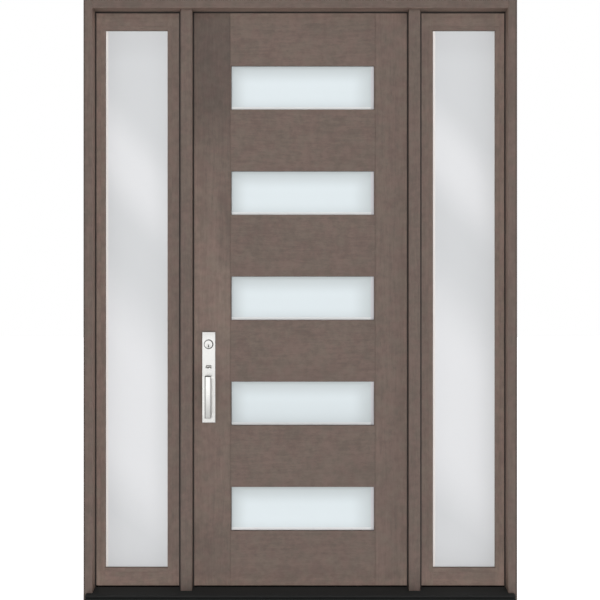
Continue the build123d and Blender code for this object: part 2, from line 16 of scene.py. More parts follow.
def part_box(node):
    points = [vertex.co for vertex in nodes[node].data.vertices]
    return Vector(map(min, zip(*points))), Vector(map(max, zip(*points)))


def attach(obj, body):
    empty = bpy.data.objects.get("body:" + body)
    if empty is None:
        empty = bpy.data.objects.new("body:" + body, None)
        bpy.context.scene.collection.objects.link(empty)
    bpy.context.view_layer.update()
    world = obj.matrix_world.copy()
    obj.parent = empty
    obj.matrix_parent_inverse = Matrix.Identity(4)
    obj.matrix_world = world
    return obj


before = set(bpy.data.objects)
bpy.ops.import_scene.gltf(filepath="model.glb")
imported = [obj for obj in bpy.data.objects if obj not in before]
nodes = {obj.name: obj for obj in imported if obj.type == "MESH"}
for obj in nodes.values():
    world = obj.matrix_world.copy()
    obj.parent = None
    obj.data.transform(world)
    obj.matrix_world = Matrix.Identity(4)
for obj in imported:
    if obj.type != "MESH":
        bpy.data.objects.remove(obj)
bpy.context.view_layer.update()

# %% [markdown]
# The picture is a level view, square-on, from about four metres. The lens follows from how
# many millimetres one picture point covers at the stop, and no shift is needed, because the
# eye stands level with the middle of the unit.

# %% Camera
PICTURE_POINTS = 600
METRES_PER_POINT = 0.004174
SENSOR = 36.0
EYE = Vector((-0.00125, -4.299, 1.243))
STOP_PLANE = 0.001
scene = bpy.context.scene
camera_data = bpy.data.cameras.new("camera")
camera_data.sensor_width = SENSOR
camera_data.lens = SENSOR * (STOP_PLANE - EYE.y) / (PICTURE_POINTS * METRES_PER_POINT)
camera = bpy.data.objects.new("camera", camera_data)
camera.location = EYE
camera.rotation_euler = (math.radians(90), 0, 0)
scene.collection.objects.link(camera)
scene.camera = camera
print("lens:", round(camera_data.lens, 2))

# %% [markdown]
# Light and finishes are made of a few kinds of node again and again, so small helpers keep
# the code short: one adds a node with its inputs, and the others do arithmetic, ease one value
# into another, mix two colours or make a cloud pattern. A Mix node has sockets for every kind
# of value at once, so its sockets are picked by number.

# %% Node helpers
def add(tree, kind, inputs=None, **settings):
    """One node, with values or links for its inputs."""
    node = tree.nodes.new(kind)
    for key, value in settings.items():
        setattr(node, key, value)
    for key, value in (inputs or {}).items():
        if isinstance(value, bpy.types.NodeSocket):
            tree.links.new(value, node.inputs[key])
        else:
            node.inputs[key].default_value = value
    return node


def sums(tree, operation, *values):
    """The result of one arithmetic node."""
    return add(tree, "ShaderNodeMath", dict(enumerate(values)), operation=operation).outputs[0]


def plus(tree, first, second):
    """The sum of two numbers or sockets."""
    return sums(tree, "ADD", first, second)


def minus(tree, first, second):
    """One number or socket less another."""
    return sums(tree, "SUBTRACT", first, second)


def times(tree, first, second):
    """The product of two numbers or sockets."""
    return sums(tree, "MULTIPLY", first, second)


def apart(tree, first, second):
    """How far two numbers or sockets lie apart."""
    return sums(tree, "ABSOLUTE", minus(tree, first, second))


def ease(tree, value, low, high, start=0.0, end=1.0):
    """A smooth step from start to end while one value goes from low to high."""
    node = add(tree, "ShaderNodeMapRange", interpolation_type="SMOOTHSTEP", inputs={
        "Value": value, "From Min": low, "From Max": high, "To Min": start, "To Max": end})
    return node.outputs["Result"]


def blend(tree, factor, first, second):
    """A mix of two colours."""
    return add(tree, "ShaderNodeMix", {0: factor, 6: first, 7: second}, data_type="RGBA").outputs[2]


def noise(tree, vector, scale, detail=3.0, roughness=0.55):
    """A cloud pattern from 0 to 1."""
    node = add(tree, "ShaderNodeTexNoise", {
        "Vector": vector, "Scale": scale, "Detail": detail, "Roughness": roughness})
    return node.outputs["Fac"]


print("node helpers ready")

# %% [markdown]
# A door is shown in even light with hardly a shadow. A plain white surround would do that, but
# then metal has nothing to mirror. So the surround is brightest straight in front of the unit
# and behind it, softer at the sides with a little more from the right, and dim overhead: flat
# faces look even, while rounded metal gets darker edges. The camera itself sees plain white.

# %% Studio
SIDE_LIGHT = 0.50
FACE_LIGHT = 1.655
RIGHT_LIGHT = 0.95
FACE_SPREAD = (0.75, 0.97)
RIGHT_SPREAD = (0.72, 0.95)
OVERHEAD = (0.35, 0.85, 1.0, 0.35)
WHITE = (1.0, 1.0, 1.0, 1.0)
scene.view_settings.view_transform = "Standard"


def studio_surround():
    """A white surround whose light depends on its direction."""
    world = bpy.data.worlds.new("studio")
    world.use_nodes = True
    tree = world.node_tree
    back = tree.nodes["Background"]
    way = add(tree, "ShaderNodeTexCoord").outputs["Generated"]
    split = add(tree, "ShaderNodeSeparateXYZ", {"Vector": way}).outputs
    ahead = ease(tree, sums(tree, "ABSOLUTE", split["Y"]), *FACE_SPREAD)
    light = plus(tree, SIDE_LIGHT, times(tree, ahead, FACE_LIGHT))
    light = plus(tree, light, ease(tree, split["X"], *RIGHT_SPREAD, 0.0, RIGHT_LIGHT))
    light = times(tree, light, ease(tree, split["Z"], *OVERHEAD))
    seen = add(tree, "ShaderNodeLightPath").outputs["Is Camera Ray"]
    light = add(tree, "ShaderNodeMix", {0: seen, 2: light, 3: 1.0}, data_type="FLOAT").outputs[0]
    back.inputs["Color"].default_value = WHITE
    tree.links.new(light, back.inputs["Strength"])
    scene.world = world


studio_surround()
print("surround:", scene.world.name)

# %% [markdown]
# Every finish asks where a point lies or which way its face looks, and every finish ends in a
# colour, a roughness and a bump. A solid's edges are razor-sharp, which no real edge is. They
# could be rounded in the mesh, but a Bevel node rounds only the normal there, so edges catch
# light and the solid stays as it is.

# %% Helpers for finishes
EDGE_SAMPLES = 4


def new_finish(name):
    """A node material with its tree and its shader."""
    material = bpy.data.materials.new(name)
    material.use_nodes = True
    tree = material.node_tree
    return material, tree, tree.nodes["Principled BSDF"]


def axes(tree):
    """The place on the object, as one vector and as x, y and z."""
    place = add(tree, "ShaderNodeTexCoord").outputs["Object"]
    split = add(tree, "ShaderNodeSeparateXYZ", {"Vector": place}).outputs
    return place, split["X"], split["Y"], split["Z"]


def facing(tree):
    """Which way the flat face looks, as x, y and z."""
    normal = add(tree, "ShaderNodeNewGeometry").outputs["True Normal"]
    split = add(tree, "ShaderNodeSeparateXYZ", {"Vector": normal}).outputs
    return split["X"], split["Y"], split["Z"]


def shade(colour, factor):
    """A colour made darker or lighter."""
    return tuple(channel * factor for channel in colour) + (1.0,)


def moved_by(tree, vector, step):
    """A vector with another one added."""
    return add(tree, "ShaderNodeVectorMath", {0: vector, 1: step}, operation="ADD").outputs[0]


def scaled_by(tree, vector, factors):
    """A vector multiplied axis by axis."""
    return add(tree, "ShaderNodeVectorMath", {0: vector, 1: factors}, operation="MULTIPLY").outputs[0]


def toned(tree, colour, factor):
    """A colour made darker or lighter by a socket."""
    return add(tree, "ShaderNodeVectorMath", {0: colour, "Scale": factor}, operation="SCALE").outputs[0]


def soft_edge(tree, radius):
    """A normal that is rounded along sharp edges."""
    return add(tree, "ShaderNodeBevel", {"Radius": radius}, samples=EDGE_SAMPLES).outputs["Normal"]


def surface(tree, shader, colour, rough, height, strength, distance, normal=None):
    """Gives the shader a colour, a roughness and a bump; normal is what the bump lies on."""
    inputs = {"Height": height, "Strength": strength, "Distance": distance}
    if normal is not None:
        inputs["Normal"] = normal
    bump = add(tree, "ShaderNodeBump", inputs).outputs["Normal"]
    for socket, value in (("Base Color", colour), ("Roughness", rough), ("Normal", bump)):
        tree.links.new(value, shader.inputs[socket])


def dress(material, *names):
    """One finish on the named solids."""
    for name in names:
        slots = nodes[name].data.materials
        for index in range(len(slots)):
            slots[index] = material
    print(material.name, "on", len(names))


# %% [markdown]
# The wood and the moulded fibreglass carry the same grey-brown stain: soft streaks along the
# grain, finer pores, and slow cloudy changes where the stain was wiped, some of it warmer and
# some of it greener. The grain is noise that is stretched along one axis. On the leaf it runs
# across between the two joint lines and upright outside them, so the stretch changes with x.
# Sharp arrises are a little paler, because stain always wipes thin there.

# %% Stain
STAIN = (0.1450, 0.1037, 0.0862)
WARM = (1.035, 0.99, 0.985, 1.0)
GREEN = (0.975, 1.015, 0.985, 1.0)
GRAIN = {"X": (0.10, 1.0, 1.0), "Z": (1.0, 1.0, 0.05)}
WANDER_SCALE, WANDER_DETAIL, WANDER_WIDTH = 2.2, 2.0, (0.03, 0.03, 0.03)
# Each pattern has a scale, a detail and a roughness.
STREAKS, PORES, FLECKS = (95.0, 6.0, 0.6), (520.0, 2.0, 0.5), (240.0, 3.0, 0.7)
CLOUDS, MOTTLING, HUES = (6.0, 4.0, 0.6), (58.0, 4.0, 0.65), (17.0, 3.0, 0.6)
MOTTLE_STRETCH = (0.6, 1.0, 0.6)
STREAK_SHARE, CLOUD_SHARE, MOTTLE_SHARE = 0.34, 0.24, 0.42
# Each mark has the range of its pattern that it fills, its share and its tone.
WIPED_RANGE, THICK_TONE, THIN_TONE = (0.35, 0.65), 0.84, 1.16
HUE_RANGE = (0.36, 0.64)
PORE_RANGE, PORE_SHARE, PORE_TONE = (0.46, 0.30), 0.34, 0.58
FLECK_RANGE, FLECK_SHARE, FLECK_TONE = (0.60, 0.80), 0.26, 1.35
ARRIS_RANGE, ARRIS_SHARE, ARRIS_TONE = (0.995, 0.80), 0.25, 1.4
ARRIS_RADIUS = 0.0016
STREAK_HEIGHT, PORE_DEPTH = 0.6, 0.8
STAIN_ROUGH, STREAK_ROUGH = 0.46, 0.16
STAIN_BUMP = (0.35, 0.0005)
STAIN_GLOSS = 0.35


def grain_lay(tree, place, x, along, across):
    """The stretched place that all grain patterns read, bent a little by slow noise."""
    wander = add(tree, "ShaderNodeTexNoise", {
        "Vector": place, "Scale": WANDER_SCALE, "Detail": WANDER_DETAIL}).outputs["Color"]
    wavy = moved_by(tree, place, scaled_by(tree, wander, WANDER_WIDTH))
    if not across:
        return scaled_by(tree, wavy, GRAIN[along])
    from_middle = apart(tree, x, sum(across) / 2)
    inside = sums(tree, "LESS_THAN", from_middle, (across[1] - across[0]) / 2)
    squeeze = add(tree, "ShaderNodeMix", {0: inside, 4: GRAIN["Z"], 5: GRAIN["X"]}, data_type="VECTOR")
    return scaled_by(tree, wavy, squeeze.outputs[1])


def stained_grain(name, along, start, tint=1.0, across=None, light_and_tone=None):
    """Stain on grain along X or Z; across is an x range in which it runs along X instead.

    light_and_tone, if it is given, makes the factor by which the stain is paler or darker at one place:
    painted light, painted shade and tones of the stain itself."""
    material, tree, shader = new_finish(name)
    place, x, y, z = axes(tree)
    moved = moved_by(tree, place, start)
    lay = grain_lay(tree, moved, x, along, across)
    streak = noise(tree, lay, *STREAKS)
    cloud = noise(tree, moved, *CLOUDS)
    mottle = noise(tree, scaled_by(tree, moved, MOTTLE_STRETCH), *MOTTLING)
    wiped = plus(tree, times(tree, streak, STREAK_SHARE), times(tree, cloud, CLOUD_SHARE))
    wiped = plus(tree, wiped, times(tree, mottle, MOTTLE_SHARE))
    colour = blend(tree, ease(tree, wiped, *WIPED_RANGE),
                   shade(STAIN, THICK_TONE * tint), shade(STAIN, THIN_TONE * tint))
    hue = ease(tree, noise(tree, moved, *HUES), *HUE_RANGE)
    colour = scaled_by(tree, colour, blend(tree, hue, GREEN, WARM))
    pore = ease(tree, noise(tree, lay, *PORES), *PORE_RANGE)
    fleck = ease(tree, noise(tree, lay, *FLECKS), *FLECK_RANGE)
    soft = soft_edge(tree, ARRIS_RADIUS)
    true = add(tree, "ShaderNodeNewGeometry").outputs["True Normal"]
    turn = add(tree, "ShaderNodeVectorMath", {0: soft, 1: true}, operation="DOT_PRODUCT")
    arris = ease(tree, turn.outputs["Value"], *ARRIS_RANGE)
    for mark, share, tone in ((pore, PORE_SHARE, PORE_TONE), (fleck, FLECK_SHARE, FLECK_TONE),
                              (arris, ARRIS_SHARE, ARRIS_TONE)):
        colour = blend(tree, times(tree, mark, share), colour, shade(STAIN, tone * tint))
    if light_and_tone:
        colour = toned(tree, colour, light_and_tone(tree, x, y, z))
    rough = plus(tree, STAIN_ROUGH, times(tree, streak, STREAK_ROUGH))
    height = minus(tree, times(tree, streak, STREAK_HEIGHT), times(tree, pore, PORE_DEPTH))
    surface(tree, shader, colour, rough, height, *STAIN_BUMP, normal=soft)
    shader.inputs["Specular IOR Level"].default_value = STAIN_GLOSS
    return material


print("stain:", STAIN)

# %% [markdown]
# The leaf and the panels are painted paler on the outside close to the stops and the sill:
# painted light that stands in for the light which the frame and the sill keep from them. It
# could come from an image, but distances to edges that the model already has are exact and
# need none. The latch stile is darker towards its two ends and paler at eye height, and a thin
# painted shadow lies on it beside the seal.

# %% Stain of the leaf
LITE_COVER = 0.0095
JOINT_OFFSET = 0.0045
STOP_LIP = 0.003
# Width of the painted shadow beside the seal.
SEAL_SHADOW_WIDTH = 0.0022
# Each step of painted light has its reach from an edge, and its share at the edge.
LEAF_BY_STOP = ((0.055, 0.26), (0.020, 0.24))
LEAF_BY_SILL = ((0.18, 0.34), (0.05, 0.48))
# Each change along the latch stile has the two places between which it happens, and the tones there.
LATCH_TOP = (1.70, 2.10, 1.06, 0.68)
LATCH_FOOT = (0.08, 0.45, 0.84, 1.0)
EYE_HEIGHT, LATCH_EYE = 1.28, (0.45, 0.10, 1.0, 1.13)
STRIP_WIDTH, STRIP_FOOT, STRIP_TOP = (0.062, 0.036), (1.36, 1.42, 0.0, 0.20), (1.98, 1.56)
RAIL_TONE, STILE_TONE, TONE_BLUR = 0.965, 1.02, 0.002
JOINT_LINE = (0.0012, 0.0045, 0.93, 1.0)
SEAL_BLUR, SEAL_SHARE = (0.7, 0.4), 0.80
skin_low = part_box("door_exterior_skin")[0]
leaf_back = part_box("door_interior_skin")[1].y
lite_low, lite_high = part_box("door_lite_1")
post_low, post_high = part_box("right_mull_post")
head_low, head_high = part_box("head_jamb")
sight_left = lite_low.x + LITE_COVER
sight_right = lite_high.x - LITE_COVER
joint_lines = (sight_left - JOINT_OFFSET, sight_right + JOINT_OFFSET)
stop_x = post_low.x - STOP_LIP
stop_z = head_low.z - STOP_LIP
middle_y = (skin_low.y + leaf_back) / 2


def outside(tree, y):
    """1 on the outer half of the leaf's thickness, and 0 on the inner half."""
    return sums(tree, "LESS_THAN", y, middle_y)


def paler(tree, y, factor, distance, steps):
    """Painted light: a factor made larger on the outside, step by step towards an edge."""
    for reach, most in steps:
        close = times(tree, ease(tree, distance, reach, 0.0), outside(tree, y))
        factor = times(tree, factor, plus(tree, 1.0, times(tree, close, most)))
    return factor


def latch_stile_tones(tree, x, z):
    """The latch stile's tones: dark at its ends, pale at eye height, darker beside one rail joint."""
    along_stile = times(tree, ease(tree, z, *LATCH_TOP), ease(tree, z, *LATCH_FOOT))
    along_stile = times(tree, along_stile, ease(tree, apart(tree, z, EYE_HEIGHT), *LATCH_EYE))
    strip = ease(tree, minus(tree, joint_lines[0], x), *STRIP_WIDTH)
    length = times(tree, ease(tree, z, *STRIP_FOOT), ease(tree, z, *STRIP_TOP))
    return times(tree, along_stile, minus(tree, 1.0, times(tree, strip, length)))


def leaf_light_and_tone(tree, x, y, z):
    """The stain's factor on the leaf: painted light by the stops and the sill, the latch stile's tones, the
    joint lines and a painted shadow by the seal.
    """
    sideways = minus(tree, stop_x, sums(tree, "ABSOLUTE", x))
    to_stop = sums(tree, "MINIMUM", sideways, minus(tree, stop_z, z))
    # Painted light near the stops and the sill, on the outside.
    factor = paler(tree, y, 1.0, to_stop, LEAF_BY_STOP)
    factor = paler(tree, y, factor, minus(tree, z, skin_low.z), LEAF_BY_SILL)
    on_latch = times(tree, sums(tree, "LESS_THAN", x, joint_lines[0]), outside(tree, y))
    change = times(tree, on_latch, minus(tree, latch_stile_tones(tree, x, z), 1.0))
    factor = times(tree, factor, plus(tree, 1.0, change))
    from_middle = apart(tree, x, sum(joint_lines) / 2)
    rail_half = (joint_lines[1] - joint_lines[0]) / 2
    factor = times(tree, factor, ease(
        tree, from_middle, rail_half - TONE_BLUR, rail_half, RAIL_TONE, STILE_TONE))
    for line in joint_lines:
        factor = times(tree, factor, ease(tree, apart(tree, x, line), *JOINT_LINE))
    # A thin painted shadow beside the seal, on the outside of the latch side.
    painted_shading = ease(tree, apart(tree, x, SEAL_SHADOW_WIDTH / 2 - stop_x), *[SEAL_SHADOW_WIDTH * blur for blur in SEAL_BLUR])
    mark = times(tree, painted_shading, outside(tree, y))
    return times(tree, factor, minus(tree, 1.0, times(tree, mark, SEAL_SHARE)))


leaf_stain = stained_grain("leaf_stain", "Z", start=(3.1, 0.0, 7.7), across=joint_lines, light_and_tone=leaf_light_and_tone)
edge_stain = stained_grain("leaf_edge_stain", "Z", start=(5.3, 1.0, 2.4), tint=0.96)
leaf_rail_stain = stained_grain("leaf_rail_stain", "X", start=(8.2, 3.0, 4.4), tint=0.96)
dress(leaf_stain, "door_exterior_skin", "door_interior_skin")
dress(edge_stain, "door_latch_stile", "door_hinge_stile")
dress(leaf_rail_stain, "door_top_rail", "door_bottom_rail")

# %% [markdown]
# The frame is finger-jointed wood under the same stain. The side faces of the jambs and of the
# latch post are painted paler than the front faces, and so is the underside of the head: painted
# light where these faces would stand in shade. The hinge post's side faces are painted darker:
# painted shade. A thin darker line runs along the frame's outer edges, and a thin painted
# shadow along the latch post's left arris.

# %% Stain of the frame
REVEAL_SLACK = 0.010
FACES_ALONG, FACES_AGAINST = (0.5, 0.9), (-0.5, -0.9)
# Each dark line has its distances from the edge where it starts and is full, and its tone.
JAMB_LINE = (0.0085, 0.0050, 0.60)
HEAD_LINE = (0.0065, 0.0030, 0.84)
LATCH_SHADOW_WIDTH, ARRIS_BLUR, ARRIS_SHADOW = 0.0034, 1.2, 0.62
jamb_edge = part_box("right_side_jamb")[1].x


def edge_line(tree, value, edge, start, full, tone):
    """A dark line just inside an edge."""
    return ease(tree, value, edge - start, edge - full, 1.0, tone)


def frame_light_and_tone(sideways=0.0, downwards=0.0, arris_shadow=0.0):
    """Painted light: the stain is paler by two shares on faces that look sideways or down in front of the
    stops, and darker as painted shade where a share is negative.

    arris_shadow is the width of a painted shadow along the latch post's edge on the left."""
    def light_and_tone(tree, x, y, z):
        look_x, look_y, look_z = facing(tree)
        # Painted light on faces that look sideways or down; a negative share paints shade.
        beside = ease(tree, sums(tree, "ABSOLUTE", look_x), *FACES_ALONG, 0.0, sideways)
        under = ease(tree, look_z, *FACES_AGAINST, 0.0, downwards)
        away = sums(tree, "ABSOLUTE", x)
        inside = times(tree, sums(tree, "LESS_THAN", away, head_high.x + REVEAL_SLACK), outside(tree, y))
        share = times(tree, plus(tree, beside, under), inside)
        outline = times(tree, edge_line(tree, away, jamb_edge, *JAMB_LINE),
                        edge_line(tree, z, head_high.z, *HEAD_LINE))
        factor = times(tree, plus(tree, 1.0, share), outline)
        # A painted shadow along the latch post's left arris.
        if arris_shadow:
            line = ease(tree, plus(tree, x, post_high.x), arris_shadow * ARRIS_BLUR, arris_shadow)
            line = times(tree, ease(tree, look_y, *FACES_AGAINST), line)
            factor = times(tree, factor, minus(tree, 1.0, times(tree, line, ARRIS_SHADOW)))
        return factor
    return light_and_tone


jamb_stain = stained_grain("jamb_stain", "Z", start=(0.4, 6.0, 1.2), tint=0.90,
                           light_and_tone=frame_light_and_tone(sideways=0.60))
head_stain = stained_grain("head_stain", "X", start=(2.6, 4.0, 3.9), tint=0.88,
                           light_and_tone=frame_light_and_tone(downwards=0.32))
latch_post_stain = stained_grain("latch_post_stain", "Z", start=(9.5, 2.0, 6.1), tint=0.91,
                                 light_and_tone=frame_light_and_tone(sideways=0.50, arris_shadow=LATCH_SHADOW_WIDTH))
hinge_post_stain = stained_grain("hinge_post_stain", "Z", start=(7.5, 3.0, 4.3), tint=0.91,
                                 light_and_tone=frame_light_and_tone(sideways=-0.30))
dress(jamb_stain, "left_side_jamb", "right_side_jamb")
dress(head_stain, "head_jamb")
dress(latch_post_stain, "left_mull_post")
dress(hinge_post_stain, "right_mull_post")

# %% [markdown]
# The panels beside the leaf are built like it, with stiles, rails and mitred beads round the
# glass. Their stain is painted paler towards the jamb, the post, the head and the sill, each
# with its own reach: painted light that stands in for the light those parts keep from them.

# %% Stain of the tall panels
PANEL_TINT = 1.03
JAMB_STOP = 0.013
POST_STOP = 0.007
BEAD_WIDTH = 0.018
# Each step of painted light has its reach from an edge, and its share at the edge.
PANEL_BY_JAMB = ((0.070, 0.42), (0.020, 0.22))
PANEL_BY_POST = ((0.060, 0.14), (0.018, 0.14))
PANEL_BY_HEAD = ((0.080, 0.16), (0.020, 0.20))
PANEL_BY_SILL = ((0.17, 0.55), (0.05, 0.30))
panel_low, panel_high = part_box("right_sidelite_outer_stile")
jamb_stop_x = panel_high.x - JAMB_STOP
post_stop_x = post_high.x + POST_STOP


def panel_painted_light(tree, x, y, z):
    """Painted light on the panels: how much paler the stain is near the jamb, the post, the head and the
    sill.
    """
    away = sums(tree, "ABSOLUTE", x)
    factor = 1.0
    for distance, steps in ((minus(tree, jamb_stop_x, away), PANEL_BY_JAMB),
                            (minus(tree, away, post_stop_x), PANEL_BY_POST),
                            (minus(tree, stop_z, z), PANEL_BY_HEAD),
                            (minus(tree, z, panel_low.z), PANEL_BY_SILL)):
        factor = paler(tree, y, factor, distance, steps)
    return factor


panel_stile_stain = stained_grain("panel_stile_stain", "Z", start=(1.7, 5.0, 8.8), tint=PANEL_TINT,
                                  light_and_tone=panel_painted_light)
panel_rail_stain = stained_grain("panel_rail_stain", "X", start=(6.9, 7.0, 0.6), tint=PANEL_TINT,
                                 light_and_tone=panel_painted_light)
for side in ("left", "right"):
    dress(panel_stile_stain, f"{side}_sidelite_inner_stile", f"{side}_sidelite_outer_stile")
    dress(panel_rail_stain, f"{side}_sidelite_top_rail", f"{side}_sidelite_bottom_rail")
    low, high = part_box(f"{side}_sidelite_beads")
    bead = stained_grain(f"{side}_bead_stain", "Z", start=(4.4, 8.0, 5.5), tint=PANEL_TINT,
                         across=(low.x + BEAD_WIDTH, high.x - BEAD_WIDTH), light_and_tone=panel_painted_light)
    dress(bead, f"{side}_sidelite_beads")

# %% [markdown]
# The lites are acid-etched glass with light behind. Near the edge of each opening the leaf's
# own thickness keeps that light out, so the etched face falls off softly towards its frame.
# The fall-off is worked out from the distance to the edge. All five lites repeat at one
# pitch, so the height is folded into one lite with a modulo node. No two panes come out of the
# acid alike: the second from below is etched deeper at its foot, and the lowest less.

# %% Frosted glass of the lites
LITES = 5
TOOTH, HAZE = (1500.0, 2.0), (9.0, 3.0)
GLASS_ROUGH, HAZE_ROUGH = 0.36, 0.12
GLASS_BUMP = (0.10, 0.0002)
GLASS_IOR, GLASS_CLEAR = 1.5, 0.15
LITE_DIM, LITE_BRIGHT = (0.61, 0.666, 0.68, 1.0), (0.815, 0.89, 0.92, 1.0)
LITE_SHADOW = (0.48, 0.525, 0.535, 1.0)
SPACER_FOOT, SPACER_SIDE = (0.90, 0.91, 0.91, 1.0), (0.65, 0.63, 0.66, 1.0)
# Each range is in metres from one edge of the opening.
NEAR_LIGHT, FAR_LIGHT = (-0.012, 0.075), (-0.012, 0.105)
TOP_LIGHT, FOOT_LIGHT = (-0.004, 0.080), (-0.090, 0.060)
CORNER_SIDE, CORNER_TOP = (0.070, 0.0), (0.045, 0.0, 0.0, 0.60)
TOP_SHADOW = (0.018, 0.004, 0.0, 0.60)
FOOT_SPACER, SIDE_SPACER = (0.0135, 0.0095), (0.0150, 0.0110, 0.0, 0.9)
LITE_CLOUD, LITE_CLOUD_SHARE = (14.0, 3.0), 0.05
SECOND_FOOT, SECOND_RISE, LOWEST_FOOT = 0.11, 0.15, 0.08
lite_pitch = (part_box("door_lite_5")[0].z - lite_low.z) / (LITES - 1)
lite_height = lite_high.z - lite_low.z - 2 * LITE_COVER
sight_bottom = lite_low.z + LITE_COVER


def etched(tree, shader, place, colour):
    """The fine tooth of an etched face, and its soft gloss."""
    tooth = noise(tree, place, *TOOTH)
    rough = plus(tree, GLASS_ROUGH, times(tree, noise(tree, place, *HAZE), HAZE_ROUGH))
    surface(tree, shader, colour, rough, tooth, *GLASS_BUMP)
    shader.inputs["IOR"].default_value = GLASS_IOR
    shader.inputs["Transmission Weight"].default_value = GLASS_CLEAR


def lite_depth(tree, z, up):
    """How much paler or darker the second lite from below and the lowest are."""
    share = sums(tree, "DIVIDE", up, lite_height)
    second_middle = sight_bottom + lite_pitch + lite_height / 2
    on_second = sums(tree, "LESS_THAN", apart(tree, z, second_middle), lite_height)
    second = times(tree, on_second, minus(tree, times(tree, share, SECOND_RISE), SECOND_FOOT))
    on_lowest = sums(tree, "LESS_THAN", z, lite_high.z)
    lowest = times(tree, on_lowest, minus(tree, LOWEST_FOOT, times(tree, share, LOWEST_FOOT)))
    return plus(tree, 1.0, plus(tree, second, lowest))


def lite_frost():
    """Etched glass that falls off towards the edges, with the pale spacer showing low and at the right."""
    material, tree, shader = new_finish("lite_frost")
    place, x, y, z = axes(tree)
    up = sums(tree, "MODULO", minus(tree, z, sight_bottom), lite_pitch)
    down = minus(tree, lite_height, up)
    from_left = minus(tree, x, sight_left)
    from_right = minus(tree, sight_right, x)
    across = times(tree, ease(tree, from_left, *NEAR_LIGHT), ease(tree, from_right, *FAR_LIGHT))
    upright = times(tree, ease(tree, down, *TOP_LIGHT), ease(tree, up, *FOOT_LIGHT))
    cloud = times(tree, minus(tree, noise(tree, place, *LITE_CLOUD), 0.5), LITE_CLOUD_SHARE)
    light = plus(tree, times(tree, across, upright), cloud)
    colour = blend(tree, light, LITE_DIM, LITE_BRIGHT)
    sideways = sums(tree, "MINIMUM", from_left, from_right)
    corner = times(tree, ease(tree, sideways, *CORNER_SIDE), ease(tree, down, *CORNER_TOP))
    shadow = sums(tree, "MAXIMUM", corner, ease(tree, down, *TOP_SHADOW))
    colour = blend(tree, shadow, colour, LITE_SHADOW)
    colour = blend(tree, ease(tree, up, *FOOT_SPACER), colour, SPACER_FOOT)
    colour = blend(tree, ease(tree, from_right, *SIDE_SPACER), colour, SPACER_SIDE)
    etched(tree, shader, place, toned(tree, colour, lite_depth(tree, z, up)))
    return material


lite_names = [f"door_lite_{number}" for number in range(1, LITES + 1)]
dress(lite_frost(), *lite_names)

# %% [markdown]
# The tall panels have the same etched glass, but they show the sky: two soft bands of light
# lie across them, falling to the right, a narrow one high up and a broad one below the
# middle. Painted light makes the glass paler towards its foot, and painted shade dims the bands
# towards the right edge and darkens the glass towards the head. At its sides, the glass shows
# the pale edge tape that seals the pane.

# %% Frosted glass of the tall panels
PANEL_COVER = 0.0175
BAND_SLOPE = 1.04
# Each band has its middle height, its reach and the width of its soft edge.
HIGH_BAND, HIGH_SHARE = (1.900, 0.27, 0.24), 0.9
LOW_BAND = (0.900, 0.62, 0.42)
LOW_END, TOP_END = (0.55, 0.15, 0.0, 0.34), (2.22, 2.34)
RIGHT_FALL = (0.0, 0.09, 0.55, 1.0)
TAPE_LEFT, TAPE_RIGHT = (0.0115, 0.0085, 0.0, 0.95), (0.0075, 0.0045, 0.0, 0.30)
PANEL_DIM, PANEL_BRIGHT = (0.735, 0.75, 0.766, 1.0), (0.885, 0.893, 0.912, 1.0)
PANEL_TOP = (0.69, 0.703, 0.718, 1.0)
EDGE_TAPE = (0.97, 0.92, 0.89, 1.0)


def light_band(tree, slant, middle, reach, ramp):
    """A soft band about one height on the slanted scale."""
    return ease(tree, apart(tree, slant, middle), reach, reach - ramp)


def panel_frost(side):
    """Etched glass with two slanting bands of light and a pale rim."""
    material, tree, shader = new_finish(f"{side}_panel_frost")
    low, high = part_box(f"{side}_sidelite_glass")
    place, x, y, z = axes(tree)
    from_left = minus(tree, x, low.x + PANEL_COVER)
    from_right = minus(tree, high.x - PANEL_COVER, x)
    slant = plus(tree, z, times(tree, from_left, BAND_SLOPE))
    high_band = times(tree, light_band(tree, slant, *HIGH_BAND), HIGH_SHARE)
    bands = sums(tree, "MAXIMUM", high_band, light_band(tree, slant, *LOW_BAND))
    # Painted light: the glass is paler towards its foot.
    bands = sums(tree, "MAXIMUM", bands, ease(tree, z, *LOW_END))
    # Painted shade: the bands fade towards the right edge.
    bands = times(tree, bands, ease(tree, from_right, *RIGHT_FALL))
    colour = blend(tree, bands, PANEL_DIM, PANEL_BRIGHT)
    # Painted shade: the glass darkens towards the head.
    colour = blend(tree, ease(tree, z, *TOP_END), colour, PANEL_TOP)
    rim = sums(tree, "MAXIMUM", ease(tree, from_left, *TAPE_LEFT), ease(tree, from_right, *TAPE_RIGHT))
    etched(tree, shader, place, blend(tree, rim, colour, EDGE_TAPE))
    return material


for side in ("left", "right"):
    dress(panel_frost(side), f"{side}_sidelite_glass")

# %% [markdown]
# The handleset is satin nickel, brushed upright. Brushing is noise stretched along z that
# changes the roughness and tilts the normal a little, and fine smudges change the gloss.
# Painted shade and a dark film may darken it, which each piece gives as a share at one place.

# %% Satin nickel
NICKEL = (0.56, 0.555, 0.54)
SHADE_AND_FILM_DARK = (0.020, 0.019, 0.018, 1.0)
UPRIGHT, LEVEL = (1.0, 1.0, 0.03), (0.03, 1.0, 1.0)
BRUSHING, SMUDGES = (2600.0, 2.0), (45.0, 3.0)
SMUDGE_DARK, SMUDGE_PALE = 0.96, 1.03
NICKEL_ROUGH, BRUSHED_ROUGH, SMUDGE_ROUGH = 0.20, 0.10, 0.08
NICKEL_RADIUS = 0.0008
NICKEL_BUMP = (0.06, 0.0001)


